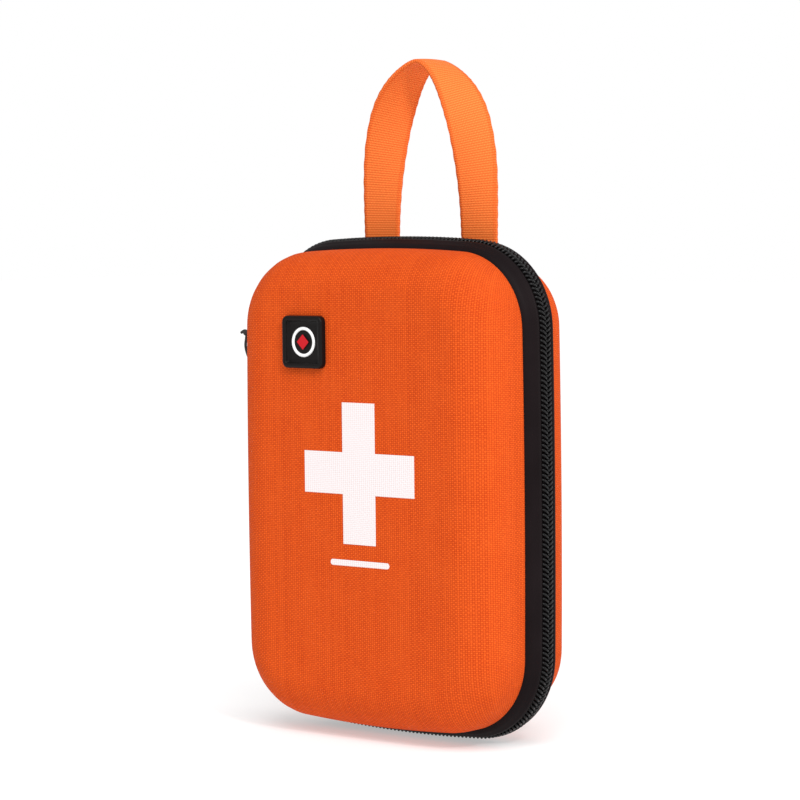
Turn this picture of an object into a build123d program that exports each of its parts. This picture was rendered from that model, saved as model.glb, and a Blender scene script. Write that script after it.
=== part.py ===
from build123d import *
from math import atan2, cos, pi, radians, sin, sqrt, tan
import os

os.makedirs("parts", exist_ok=True)

# Zipped first aid case: two moulded foam half shells joined by a coil zip, with a carry loop.
# Millimetres. +X is to the right of the lid, the lid faces -Y, +Z is up.
# The origin is the point under the middle of the zip where the case stands.

# ---- case outline, at the outside of the zip ----
case_width = 154.0
case_height = 220.0
side_bow = 1.3              # how far the left and right sides arch outwards
end_bow = 4.8               # how far the top and bottom arch outwards
corner_radius = 38.5

# ---- half shells ----
lid_depth = 38.0            # zip centre to the lid's front face
base_depth = 33.0           # zip centre to the base's back face
lid_inset = 5.2             # outside of the zip to the lid's edge
base_inset = 8.4
wall_straight = 3.6         # side wall of the base between its tape and its rounded edge
cover_thickness = 0.6       # woven cover
foam_thickness = 2.8
flange_thickness = 1.0      # foam pressed thin where the zip tape is sewn to it
lining_thickness = 0.6
fit_gap = 0.1               # between pieces sewn or glued in one body

# ---- zip ----
tape_reach = 10.4           # zip centre to the edge of each shell
tape_thickness = 1.2
lap_short = 13.6            # back face of the base to the end of the tape sewn inside the shell
binding_thickness = 0.8
coil_half_gap = 0.2
coil_reach = 4.0
coil_height = 2.6

# ---- slider and its pull ----
slider_drop = 3.845         # top of the straight side to the slider's middle, with the zip closed
slider_length = 17.0
slider_half_width = 5.5
slider_plate = 1.6
slider_travel = 8.0
tab_length = 19.0
tab_width = 7.0
tab_thickness = 1.2
pull_cord_diameter = 1.3

# ---- carry loop ----
webbing_width = 19.0
webbing_thickness = 1.7
loop_half_span = 27.5       # middle of each leg
loop_height = 77.0          # top of the case to the top of the loop
loop_y = 13.0               # depth of the legs behind the zip
loop_gap = 0.5              # from the base's top to the feet of the loop

# ---- badge and prints on the lid ----
print_x = 3.0               # the prints and the carry loop sit a little right of the middle
badge_size = 23.0
badge_height = 2.4
badge_from_side = 50.5      # left side of the case to the badge's middle
badge_from_top = 45.5
cross_length = 61.5
cross_arm = 18.2
cross_rise = 8.0            # middle of the case to the middle of the cross
dash_length = 33.0
dash_width = 2.6
dash_drop = 31.0
print_thickness = 0.15

# ---- contents ----
roll_room = 10.0            # depth of the base left by a roll
roll_length = 74.0
elastic_thickness = 1.0
content_gap = 0.3           # between loose contents and what holds them

wall = cover_thickness + foam_thickness
tape_lap = base_depth - tape_reach - lap_short
face_edge_radius = base_depth - tape_reach - wall_straight      # same on both halves
side_arc = ((case_height / 2) ** 2 + side_bow ** 2) / (2 * side_bow)
end_arc = ((case_width / 2) ** 2 + end_bow ** 2) / (2 * end_bow)
middle_z = case_height / 2
hinge_x = -case_width / 2 - 0.6


def corner_centre():
    """Centre of the top right corner arc, tangent inside the side arc and the end arc."""
    side = Vector(case_width / 2 - side_arc, 0)
    end = Vector(0, case_height / 2 - end_arc)
    apart = end - side
    reach_side = side_arc - corner_radius
    reach_end = end_arc - corner_radius
    along = (apart.length ** 2 + reach_side ** 2 - reach_end ** 2) / (2 * apart.length)
    across = sqrt(reach_side ** 2 - along ** 2)
    unit = apart.normalized()
    square = Vector(-unit.Y, unit.X)
    return side + unit * along + square * across


corner = corner_centre()
side_turn = atan2(corner.Y, corner.X - (case_width / 2 - side_arc))
end_turn = atan2(corner.Y - (case_height / 2 - end_arc), corner.X)
corner_start_z = middle_z + corner.Y + corner_radius * sin(side_turn)


def outline(inset):
    """Face of the case outline pulled in by inset, drawn in the plane of the zip."""
    radius = corner_radius - inset
    side_end = corner + Vector(cos(side_turn), sin(side_turn)) * radius
    end_end = corner + Vector(cos(end_turn), sin(end_turn)) * radius
    half_way = (side_turn + end_turn) / 2
    bend = corner + Vector(cos(half_way), sin(half_way)) * radius
    right = Vector(case_width / 2 - inset, 0)
    top = Vector(0, case_height / 2 - inset)

    def at(point, sx, sz):
        return (point.X * sx, point.Y * sz + middle_z)

    edges = [
        ThreePointArc(at(side_end, 1, -1), at(right, 1, 1), at(side_end, 1, 1)),
        ThreePointArc(at(side_end, 1, 1), at(bend, 1, 1), at(end_end, 1, 1)),
        ThreePointArc(at(end_end, 1, 1), at(top, 1, 1), at(end_end, -1, 1)),
        ThreePointArc(at(end_end, -1, 1), at(bend, -1, 1), at(side_end, -1, 1)),
        ThreePointArc(at(side_end, -1, 1), at(right, -1, 1), at(side_end, -1, -1)),
        ThreePointArc(at(side_end, -1, -1), at(bend, -1, -1), at(end_end, -1, -1)),
        ThreePointArc(at(end_end, -1, -1), at(top, 1, -1), at(end_end, 1, -1)),
        ThreePointArc(at(end_end, 1, -1), at(bend, 1, -1), at(side_end, 1, -1)),
    ]
    return Face(Wire(edges))


def slab(inset, near, far):
    """Solid of the outline from one depth to the next, on the lid's side of the zip."""
    return extrude(Plane.XZ.offset(near) * outline(inset), amount=far - near, dir=(0, -1, 0))


def pod(inset, near, far, edge_radius):
    """Tray shape with a rounded far edge, on the lid's side."""
    body = slab(inset, near, far)
    rim = body.faces().sort_by(Axis.Y)[0].edges()
    return fillet(rim, edge_radius)


def ring(inset, thick, near, far):
    """Straight band that follows the outline."""
    return slab(inset, near, far) - slab(inset + thick, near - 1, far + 1)


def flared(inset_near, inset_far, near, far):
    """Solid whose outline steps in from one depth to the next in a straight slope."""
    return loft([Plane.XZ.offset(near) * outline(inset_near), Plane.XZ.offset(far) * outline(inset_far)],
                ruled=True)


def mirrored(shape):
    """The same shape on the base's side of the zip."""
    return shape.mirror(Plane.XZ)


def box(x0, x1, y0, y1, z0, z1):
    """Box between two corners."""
    return Pos((x0 + x1) / 2, (y0 + y1) / 2, (z0 + z1) / 2) * Box(abs(x1 - x0), abs(y1 - y0), abs(z1 - z0))


def half_shell(inset, depth):
    """Cover, foam, lining, seam binding and zip tape of one half, all on the lid's side."""
    lap_end = tape_reach + tape_lap
    lap_inset = inset + cover_thickness + flange_thickness + fit_gap
    cover = pod(inset, tape_reach, depth, face_edge_radius)
    under_cover = pod(inset + cover_thickness, tape_reach, depth - cover_thickness,
                      face_edge_radius - cover_thickness)
    inside = pod(inset + wall, tape_reach, depth - wall, face_edge_radius - wall)
    rebate = slab(inset + cover_thickness + flange_thickness, tape_reach - 1, lap_end + fit_gap)
    foam = under_cover - inside - rebate
    cover = cover - under_cover
    lining_inset = inset + wall + fit_gap
    lining_depth = depth - wall - fit_gap
    lining_radius = face_edge_radius - wall
    lining = pod(lining_inset, tape_reach, lining_depth, lining_radius)
    lining -= pod(lining_inset + lining_thickness, tape_reach, lining_depth - lining_thickness,
                  lining_radius - lining_thickness)
    lining -= slab(-1, 0, lap_end + fit_gap)
    coil_floor = coil_height + fit_gap
    tape = ring(coil_floor, tape_thickness, coil_half_gap + 0.2, coil_reach + 0.4)
    slope = flared(coil_floor, lap_inset, coil_reach + 0.4, tape_reach)
    slope -= flared(coil_floor + tape_thickness, lap_inset + tape_thickness, coil_reach + 0.4, tape_reach)
    lap = ring(lap_inset, tape_thickness, tape_reach, lap_end)
    tape = tape + slope + lap
    binding = ring(lap_inset + tape_thickness + fit_gap, binding_thickness, tape_reach, lap_end)
    return cover, foam, lining, binding, tape


lid_parts = half_shell(lid_inset, lid_depth)
base_parts = [mirrored(shape) for shape in half_shell(base_inset, base_depth)]

# ---- zip: two rows of coil, open at the hinge side ----
slider_rest = corner_start_z - slider_drop
slider_low = slider_rest - slider_length / 2
coil_start = slider_rest + slider_length / 2 + slider_travel + 1.0
zip_foot = case_height - corner_start_z + 6.0
stop_height = 2.5
upper_stop = slider_low - 1.0 - stop_height
strip_low = zip_foot + stop_height + 1.0
strip_high = upper_stop - 1.0
left_of_case = -case_width / 2 - 5
coil_opening = box(left_of_case, hinge_x + 12, -8, 8, zip_foot, coil_start)
coil = ring(0, coil_height, coil_half_gap, coil_reach) - coil_opening

# The tapes stand back from the hinge line around the slider, the pull and the stops.
swing_radius = 9.0
pull_foot = slider_rest - 2.4 - tab_length - 2.0


def swing_room(low, high):
    """Round hole about the hinge line that the slider turns in."""
    return Pos(hinge_x, 0, (low + high) / 2) * Cylinder(swing_radius, high - low)


upper_room = swing_room(pull_foot, coil_start)
lower_room = swing_room(zip_foot - 1, zip_foot + stop_height + 1)


# ---- slider ----
def out(inset):
    """X at a distance inside the outside of the zip, on the left side."""
    return -case_width / 2 + inset


plate_top = -0.6
plate_low = coil_height + tape_thickness + fit_gap + 0.3
z0 = slider_rest
half = slider_length / 2
crown_leg = 1.6
crown_half = 5.4
crown_top = plate_top - slider_plate - 3.6
slider = box(out(plate_top - slider_plate), out(plate_top), -slider_half_width, slider_half_width,
             z0 - half, z0 + half)
slider = chamfer(slider.edges().filter_by(Axis.X), 2.6)
lower_plate = box(out(plate_low), out(plate_low + 1.2), -slider_half_width, slider_half_width,
                  z0 - half, z0 + half)
slider += chamfer(lower_plate.edges().filter_by(Axis.X), 2.6)
slider += box(out(plate_top - 0.1), out(plate_low + 0.1), -1.3, 1.3, z0 - half + 0.8, z0 - half + 4.2)
for side in (-1, 1):
    slider += box(out(plate_top - 0.1), out(plate_top + 1.2), side * (slider_half_width - 0.9),
                  side * slider_half_width, z0 - half + 2.6, z0 + half - 2.6)
    slider += box(out(plate_low - 0.6), out(plate_low + 0.1), side * (slider_half_width - 0.9),
                  side * slider_half_width, z0 - half + 2.6, z0 + half - 2.6)
crown = box(out(crown_top), out(plate_top - slider_plate + 0.1), -1.6, 1.6, z0 - crown_half, z0 + crown_half)
crown = chamfer(crown.faces().sort_by(Axis.X)[0].edges().filter_by(Axis.Y), 1.2)
crown -= box(out(crown_top + 1.1), out(plate_top - slider_plate + 1), -3, 3,
             z0 - crown_half + crown_leg, z0 + crown_half - crown_leg)
slider += crown

# ---- pull tab: a bar under the crown, a window around it and an eye for the cord ----
bar_radius = 0.6
pivot_x = out((plate_top - slider_plate + crown_top + 1.1) / 2)
pivot_z = z0 - crown_half + crown_leg + bar_radius + 0.25
window_width = 4.4
window_length = 2 * crown_half - crown_leg + 0.8
eye_radius = 1.2
tab_low = pivot_z - tab_length
tab = box(pivot_x - tab_thickness / 2, pivot_x + tab_thickness / 2, -tab_width / 2, tab_width / 2,
          tab_low, pivot_z)
tab = fillet(tab.edges().filter_by(Axis.X).group_by(Axis.Z)[0], 2.4)
tab -= box(pivot_x - 2, pivot_x + 2, -window_width / 2, window_width / 2,
           pivot_z - window_length, pivot_z + 1)
eye_z = tab_low + 2.6
tab -= Pos(pivot_x, 0, eye_z) * Rot(0, 90, 0) * Cylinder(eye_radius, 4)
tab += Pos(pivot_x, 0, pivot_z) * Rot(90, 0, 0) * Cylinder(bar_radius, tab_width)

# ---- pull cord: knotted behind the eye, out to a second knot, with a short tail ----
cord_r = pull_cord_diameter / 2
knot_radius = 1.55
inner_knot_radius = 0.95
cord_route = [
    (pivot_x + 1.3, 0.0, eye_z),
    (pivot_x - 1.7, 0.1, eye_z - 0.3),
    (pivot_x - 5.0, 0.5, eye_z - 2.2),
    (pivot_x - 9.0, 1.0, eye_z - 1.4),
    (pivot_x - 12.2, 1.0, eye_z + 2.6),
    (pivot_x - 14.6, 0.4, eye_z + 7.2),
    (pivot_x - 15.7, -0.2, eye_z + 11.8),
    (pivot_x - 14.6, -0.6, eye_z + 15.6),
    (pivot_x - 14.5, -0.2, eye_z + 18.6),
    (pivot_x - 16.6, 0.3, eye_z + 19.2),
    (pivot_x - 18.6, 0.5, eye_z + 17.9),
]
knot_middle = (pivot_x - 14.7, -0.3, eye_z + 17.9)


def cord_tube(route):
    """Round tube along straight runs joined by arcs as large as the runs allow."""
    points = [Vector(*p) for p in route]
    radii = []
    for before, here, after in zip(points, points[1:], points[2:]):
        turn = radians((here - before).get_angle(after - here))
        shorter = min((here - before).length, (after - here).length)
        radii.append(0.45 * shorter / tan(turn / 2))
    print("cord radii", [round(r, 2) for r in radii])
    path = FilletPolyline(*points, radius=radii)
    start = Plane(origin=path @ 0, z_dir=path % 0)
    tube = sweep(start * Circle(cord_r), path=path)
    print("cord length", round(path.length, 2), "volume over section",
          round(tube.volume / (pi * cord_r ** 2), 2))
    return tube


pull_cord = cord_tube(cord_route)
outer_knot = Pos(*knot_middle) * Sphere(knot_radius) - pull_cord
inner_knot = Pos(pivot_x + 1.6, 0, eye_z) * Sphere(inner_knot_radius) - pull_cord


# ---- carry loop: one ribbon, flat to the front at its feet and turned a quarter at its top ----
def ribbon_station(t):
    """Middle of the ribbon and the direction of its width, t from 0 at one foot to 1 at the other."""
    foot_z = case_height - base_inset + loop_gap
    angle = pi * t
    x = -loop_half_span * cos(angle) * abs(cos(angle)) ** 0.3
    z = foot_z + (case_height + loop_height - foot_z) * sin(angle) ** 0.62
    turn = radians(90) * sin(angle) ** 1.3
    return Vector(x + print_x, loop_y, z), Vector(cos(turn), sin(turn), 0)


def ribbon(stations):
    """Ribbon of constant width and thickness, ruled from one station to the next."""
    sections = []
    for i, (middle, across) in enumerate(stations):
        before = stations[max(i - 1, 0)][0]
        after = stations[min(i + 1, len(stations) - 1)][0]
        along = (after - before).normalized()
        thick = along.cross(across).normalized()
        place = Plane(origin=middle, x_dir=thick.cross(along), z_dir=along)
        sections.append(place * Rectangle(webbing_width, webbing_thickness))
    return loft(sections, ruled=True)


loop_steps = 18
loop_ts = [(1 - cos(pi * i / loop_steps)) / 2 for i in range(loop_steps + 1)]
carry_loop = ribbon([ribbon_station(t) for t in loop_ts])

# ---- badge and prints ----
badge_x = badge_from_side - case_width / 2
badge_z = case_height - badge_from_top
cross_z = middle_z + cross_rise
dash_z = middle_z - dash_drop


def on_face(sketch, thickness, lift=0.0):
    """Extrude a flat shape outwards from the lid's front face."""
    return extrude(Plane.XZ.offset(lid_depth + lift) * sketch, amount=thickness)


badge_frame = on_face(Pos(badge_x, badge_z) * RectangleRounded(badge_size, badge_size, 3), badge_height)
badge_frame = chamfer(badge_frame.faces().sort_by(Axis.Y)[0].edges(), 0.8)
recess = Pos(badge_x, badge_z) * RectangleRounded(badge_size - 5, badge_size - 5, 1.6)
badge_frame -= on_face(recess, badge_height, 1.0)
badge_ring = on_face(Pos(badge_x, badge_z) * (Circle(6.6) - Circle(5.2)), 0.8, 1.0)
badge_diamond = on_face(Pos(badge_x, badge_z) * Rot(0, 0, 45) * Rectangle(5, 5), 0.8, 1.0)
cross = Rectangle(cross_length, cross_arm) + Rectangle(cross_arm, cross_length)
cross_print = on_face(Pos(print_x, cross_z) * cross, print_thickness)
dash_print = on_face(Pos(print_x, dash_z) * SlotOverall(dash_length, dash_width), print_thickness)

# ---- hinge strip sewn over both tapes, and the stops at the zip's two ends ----
strip_profile = Polyline((out(2.2), -8.0), (out(0.6), -4.5), (out(-0.3), -1.0), (out(-0.3), 1.0),
                         (out(0.6), 4.5), (out(2.9), 8.0), (out(3.9), 8.0), (out(1.6), 4.5),
                         (out(0.7), 1.0), (out(0.7), -1.0), (out(1.6), -4.5), (out(3.2), -8.0), close=True)
hinge_strip = extrude(Pos(0, 0, strip_low) * make_face(strip_profile), amount=strip_high - strip_low)


def end_stop(low):
    """Moulded stop across the ends of both tapes."""
    stop = box(out(0.6), out(4.4), -3.0, 3.0, low, low + stop_height)
    return chamfer(stop.edges().filter_by(Axis.Z), 0.6)


end_stops = end_stop(upper_stop) + end_stop(zip_foot)

# ---- contents of the base ----
base_floor = base_depth - wall - fit_gap - lining_thickness
strip_y = base_floor - content_gap
roll_radius = (base_depth - roll_room) / 2
loop_inner = roll_radius + 0.2
loop_outer = loop_inner + elastic_thickness
roll_y = strip_y - elastic_thickness - 0.2 - roll_radius
roll_z = case_height - 70
roll_apart = 0.4
roll_pitch = 2 * loop_outer + roll_apart
tape_roll_radius = 14.0
tape_apart = 1.0
row_left = 28.3             # left side of the case to the first roll's loop
row_right = 19.6            # tape roll to the right side of the case
row_room = case_width - row_left - row_right - 2 * tape_roll_radius - tape_apart
roll_count = int((row_room + roll_apart) / roll_pitch)
first_roll_x = row_left + loop_outer - case_width / 2
roll_places = [first_roll_x + roll_pitch * i for i in range(roll_count)]


def loop_profile():
    """Elastic run over each roll and back to the lining, seen from above."""
    low_x = roll_places[0] - loop_outer
    high_x = roll_places[-1] + loop_outer
    strip = Rectangle(high_x - low_x, elastic_thickness)
    shape = Pos((low_x + high_x) / 2, strip_y - elastic_thickness / 2) * strip
    leg = strip_y - roll_y
    for x in roll_places:
        shape += Pos(x, roll_y) * Circle(loop_outer)
        shape += Pos(x, roll_y + leg / 2) * Rectangle(2 * loop_outer, leg)
    leg -= elastic_thickness
    for x in roll_places:
        shape -= Pos(x, roll_y) * Circle(loop_inner)
        shape -= Pos(x, roll_y + leg / 2) * Rectangle(2 * loop_inner, leg)
    return shape


elastic_loops = extrude(Pos(0, 0, roll_z - 14) * loop_profile(), amount=28)


def bandage_roll(x):
    """Wound bandage with a small hollow at its middle."""
    roll = Cylinder(roll_radius, roll_length) - Cylinder(2.2, roll_length)
    return Pos(x, roll_y, roll_z) * roll


tape_width = base_depth - 13
tape_core_radius = 8.5
tape_x = roll_places[-1] + loop_outer + tape_apart + tape_roll_radius
tape_place = Pos(tape_x, base_floor - 3.5 - tape_width / 2, case_height - 50)
tape_place *= Rot(90, 0, 0)
tape_core = Cylinder(tape_core_radius, tape_width) - Cylinder(tape_core_radius - 1.2, tape_width)
tape_core = tape_place * tape_core
tape_roll = Cylinder(tape_roll_radius, tape_width) - Cylinder(tape_core_radius + 0.1, tape_width)
tape_roll = tape_place * tape_roll


def pocket(inset, depth_at, high):
    """Mesh panel across the lower part of one half, on the lid's side."""
    edge = inset + cover_thickness + flange_thickness + tape_thickness + binding_thickness + 4 * fit_gap
    panel = slab(edge, depth_at, depth_at + 0.8)
    return panel & box(-case_width, case_width, -60, 60, 0, high)


pocket_depth = 12.0
base_pocket_top = case_height - 116
lid_pocket_top = case_height - 124
hem_half = case_width / 2 - 14
base_pocket = mirrored(pocket(base_inset, pocket_depth, base_pocket_top))
base_hem = box(-hem_half, hem_half, pocket_depth - 0.6, pocket_depth + 1.4, base_pocket_top + 0.1,
               base_pocket_top + 9)
lid_pocket = pocket(lid_inset, pocket_depth, lid_pocket_top)
lid_hem = box(-hem_half, hem_half, -pocket_depth - 1.4, -pocket_depth + 0.6, lid_pocket_top + 0.1,
              lid_pocket_top + 9)


def packet(x0, x1, z0, z1, near, far, side, soft=2.0):
    """Flat pack standing behind a pocket; side is -1 in the lid and 1 in the base."""
    pack = box(x0, x1, side * near, side * far, z0, z1)
    return fillet(pack.edges().filter_by(Axis.Y), soft)


behind_pocket = pocket_depth + 1.2
half_width = case_width / 2
pack_low = corner_radius - 7.5
triangular_bandage = packet(28 - half_width, -3, pack_low, base_pocket_top - 7, behind_pocket,
                            base_floor - content_gap, 1, 4)
gauze_step = 0.21 * (base_floor - behind_pocket)
gauze_packs = Compound(children=[
    packet(1, half_width - 26, pack_low, base_pocket_top - 11, behind_pocket + gauze_step * i,
           behind_pocket + gauze_step * (i + 1) - content_gap, 1)
    for i in range(4)
])

# ---- contents of the lid ----
lid_floor = lid_depth - wall - fit_gap - lining_thickness
lid_stack = lid_floor - content_gap
lid_room = lid_stack - behind_pocket
wipe_step = 0.118 * lid_room
wipes = Compound(children=[
    packet(7, half_width - 28, 28, lid_pocket_top - 10, lid_stack - wipe_step * (i + 1) + content_gap,
           lid_stack - wipe_step * i, -1, 1.2)
    for i in range(5)
])
plaster_step = 0.093 * lid_room
plaster_left = 31 - half_width
plaster_width = (half_width - 37) / 2
plaster_pitch = plaster_width + 2
plasters = Compound(children=[
    packet(plaster_left + plaster_pitch * (i % 2), plaster_left + plaster_pitch * (i % 2) + plaster_width,
           30, lid_pocket_top - 2, lid_stack - plaster_step * (i // 2 + 1) + content_gap,
           lid_stack - plaster_step * (i // 2), -1, 0.8)
    for i in range(8)
])
foil_blanket = packet(6, half_width - 27, 29, lid_pocket_top - 5, behind_pocket,
                      behind_pocket + 0.255 * lid_room, -1, 3)
gloves = packet(30 - half_width, -3, 29, lid_pocket_top - 5, behind_pocket,
                behind_pocket + 0.44 * lid_room, -1, 5)

# Tweezers: two leaves joined at one end. The tools' sizes follow the case's width.
tool_size = case_width / 154
tweezers_profile = Polyline((-40, -3.4), (-32, -4.2), (0, -4.2), (38, -1.0), (40, -0.7), (40, -0.2),
                            (37, -0.2), (0, -3.0), (-31, -3.0), (-36, -1.6), (-36, 1.6), (-31, 3.0), (0, 3.0), (37, 0.2),
                            (40, 0.2), (40, 0.7), (38, 1.0), (0, 4.2), (-32, 4.2), (-40, 3.4), close=True)
tweezers_face = scale(make_face(tweezers_profile), tool_size)
tweezers = extrude(Plane.XZ.offset(lid_stack - 8) * Pos(-6, case_height - 28) * tweezers_face, amount=7,
                   dir=(0, -1, 0))
pin_wire = 1.1
pin_length = 32 * tool_size
pin_x = 31 + pin_length / 2 - half_width
pin_loop = RectangleRounded(pin_length, 7, 3.4)
pin_loop -= RectangleRounded(pin_length - 2 * pin_wire, 7 - 2 * pin_wire, 3.4 - pin_wire)
safety_pins = Compound(children=[
    extrude(Plane.XZ.offset(lid_stack - pin_wire) * Pos(pin_x, case_height - 44 - 9 * i)
            * Rot(0, 0, 4 * i) * pin_loop, amount=pin_wire, dir=(0, -1, 0))
    for i in range(2)
])

# Scissors lie in the upper part of the lid, pivot at their middle.
scissor_x = 12.0 * tool_size
scissor_z = case_height - 62
scissor_top = lid_floor - 3.0
blade_thickness = 1.5
open_half = 4.0


def scissor_half(side, near):
    """One blade with its handle ring; side mirrors the shape."""
    edge = Polyline((-6, -3.4), (4, -3.6), (40, -0.6), (41, 0.6), (8, 3.4), (-6, 3.4), close=True)
    blade = make_face(edge)
    shank = make_face(Polyline((-4, -3.4), (-4, 3.4), (-18, 9.5), (-20, 5.0), close=True))
    ring_out = Pos(-31, 9.6) * Ellipse(13.0, 9.0)
    ring_in = Pos(-31, 9.6) * Ellipse(9.6, 5.8)
    shape = scale(blade + shank + ring_out - ring_in - Circle(1.75), tool_size)
    if side < 0:
        shape = shape.mirror(Plane.XZ)
    solid = extrude(Plane.XZ.offset(near) * Pos(scissor_x, scissor_z) * Rot(0, 0, side * open_half) * shape,
                    amount=blade_thickness)
    return solid


back_blade = scissor_half(1, scissor_top - 2 * blade_thickness - 0.1)
front_blade = scissor_half(-1, scissor_top - blade_thickness)
rivet_near = scissor_top - 2 * blade_thickness - 0.1
scissor_pivot = Pos(scissor_x, scissor_z)
scissor_rivet = extrude(Plane.XZ.offset(rivet_near - 0.7) * scissor_pivot * Circle(1.7 * tool_size),
                        amount=2 * blade_thickness + 1.5)
scissor_rivet += extrude(Plane.XZ.offset(rivet_near - 1.1) * scissor_pivot * Circle(3.0 * tool_size),
                         amount=0.8)

# Elastic band sewn to the lining around the scissors' pivot.
band_half = 7.5 * tool_size
band_near = rivet_near - 2.4
band_half_wide = 5.0 * tool_size
scissor_band = box(scissor_x - band_half_wide, scissor_x + band_half_wide, -band_near, -lid_stack,
                   scissor_z - band_half - 1, scissor_z + band_half + 1)
scissor_band -= box(scissor_x - band_half_wide - 1, scissor_x + band_half_wide + 1, -band_near - 1,
                    -lid_stack + 1, scissor_z - band_half, scissor_z + band_half)

shapes = {
    "lid_cover": lid_parts[0],
    "lid_foam": lid_parts[1],
    "lid_lining": lid_parts[2],
    "lid_seam_binding": lid_parts[3],
    "lid_zip_tape": lid_parts[4] - upper_room - lower_room,
    "lid_zip_coil": coil,
    "base_cover": base_parts[0],
    "base_foam": base_parts[1],
    "base_lining": base_parts[2],
    "base_seam_binding": base_parts[3],
    "base_zip_tape": base_parts[4] - upper_room - lower_room,
    "base_zip_coil": mirrored(coil),
    "hinge_strip": hinge_strip,
    "zip_end_stops": end_stops,
    "slider_body": slider,
    "pull_tab": tab,
    "pull_cord": pull_cord,
    "pull_cord_knot": outer_knot,
    "pull_cord_inner_knot": inner_knot,
    "carry_loop": carry_loop,
    "badge_frame": badge_frame,
    "badge_ring": badge_ring,
    "badge_diamond": badge_diamond,
    "cross_print": cross_print,
    "dash_print": dash_print,
    "elastic_loops": elastic_loops,
    "bandage_rolls": Compound(children=[bandage_roll(x) for x in roll_places]),
    "tape_roll": tape_roll,
    "tape_roll_core": tape_core,
    "base_pocket": base_pocket,
    "base_pocket_hem": base_hem,
    "triangular_bandage": triangular_bandage,
    "gauze_packs": gauze_packs,
    "lid_pocket": lid_pocket,
    "lid_pocket_hem": lid_hem,
    "cleansing_wipes": wipes,
    "plasters": plasters,
    "scissor_blade_back": back_blade,
    "scissor_blade_front": front_blade,
    "scissor_rivet": scissor_rivet,
    "scissor_band": scissor_band,
    "tweezers": tweezers,
    "safety_pins": safety_pins,
    "foil_blanket": foil_blanket,
    "disposable_gloves": gloves,
}

for node, shape in shapes.items():
    export_step(shape, f"parts/{node}.step")
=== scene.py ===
from math import atan2, cos, floor, hypot, pi, radians, sin, sqrt

import bmesh
import bpy
from mathutils import Matrix, Vector


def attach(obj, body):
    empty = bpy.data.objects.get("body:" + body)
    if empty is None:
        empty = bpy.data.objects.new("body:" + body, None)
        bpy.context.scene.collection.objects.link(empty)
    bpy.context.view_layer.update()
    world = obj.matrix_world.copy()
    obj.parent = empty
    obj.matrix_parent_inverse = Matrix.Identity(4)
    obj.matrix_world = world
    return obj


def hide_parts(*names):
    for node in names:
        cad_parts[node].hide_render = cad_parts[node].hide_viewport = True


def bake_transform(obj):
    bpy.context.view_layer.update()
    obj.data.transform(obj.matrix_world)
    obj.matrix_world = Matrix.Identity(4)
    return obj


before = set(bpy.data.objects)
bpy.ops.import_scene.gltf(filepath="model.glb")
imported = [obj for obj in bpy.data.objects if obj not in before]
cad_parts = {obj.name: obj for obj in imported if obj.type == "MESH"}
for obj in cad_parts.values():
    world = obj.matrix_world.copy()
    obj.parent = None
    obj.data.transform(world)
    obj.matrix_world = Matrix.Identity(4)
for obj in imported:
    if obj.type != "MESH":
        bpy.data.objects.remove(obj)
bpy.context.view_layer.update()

scene = bpy.context.scene

# ---- Studio ----
# A white surround over a pale floor. A broad even light and a small key come from high on the
# right, and a soft light from behind it. The camera stands to the right, level with the lid's top.
camera_place = Vector((0.857956, -1.055473, 0.236395))
camera_back = Vector((0.6315, -0.77264, 0.06499))
camera_up = Vector((-0.03268, 0.05722, 0.99783))
camera_right = camera_up.cross(camera_back)
camera_data = bpy.data.cameras.new("camera")
camera_data.lens = 139.12
camera_data.sensor_width = 36.0
camera_data.clip_start = 0.05
camera = bpy.data.objects.new("camera", camera_data)
scene.collection.objects.link(camera)
turn = Matrix((camera_right, camera_up, camera_back)).transposed().to_4x4()
camera.matrix_world = Matrix.Translation(camera_place) @ turn
scene.camera = camera
scene.view_settings.view_transform = "Standard"

surround = bpy.data.worlds.new("surround")
surround.use_nodes = True
sky = surround.node_tree.nodes["Background"]
sky.inputs["Color"].default_value = (1.0, 1.0, 1.0, 1.0)
sky_path = surround.node_tree.nodes.new("ShaderNodeLightPath")
sky_strength = surround.node_tree.nodes.new("ShaderNodeMapRange")
sky_strength.inputs["To Min"].default_value = 0.60
sky_strength.inputs["To Max"].default_value = 1.0
surround.node_tree.links.new(sky_path.outputs["Is Camera Ray"], sky_strength.inputs["Value"])
surround.node_tree.links.new(sky_strength.outputs["Result"], sky.inputs["Strength"])
scene.world = surround

sun_data = bpy.data.lights.new("even light", "SUN")
sun_data.energy = 1.7
sun_data.angle = radians(40)
sun = bpy.data.objects.new("even light", sun_data)
sun.rotation_euler = Vector((-0.42, 0.55, -0.9)).to_track_quat("-Z", "Y").to_euler()
scene.collection.objects.link(sun)


def soft_light(name, place, aim, width, power):
    """Square area light at a place, turned to face a point."""
    data = bpy.data.lights.new(name, "AREA")
    data.size = width
    data.energy = power
    lamp = bpy.data.objects.new(name, data)
    lamp.location = place
    lamp.rotation_euler = (Vector(aim) - Vector(place)).to_track_quat("-Z", "Y").to_euler()
    scene.collection.objects.link(lamp)


soft_light("key", (0.9, -0.5, 0.75), (0.0, 0.0, 0.12), 0.16, 4.0)
soft_light("rim", (0.9, 0.6, 0.6), (0.0, 0.0, 0.15), 0.6, 3.0)


def new_material(name, roughness=0.6, metallic=0.0):
    """Material with its Principled shader, its tree and its surface shader."""
    material = bpy.data.materials.new(name)
    material.use_nodes = True
    shader = material.node_tree.nodes["Principled BSDF"]
    shader.inputs["Roughness"].default_value = roughness
    shader.inputs["Metallic"].default_value = metallic
    return material, material.node_tree, shader


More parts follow.
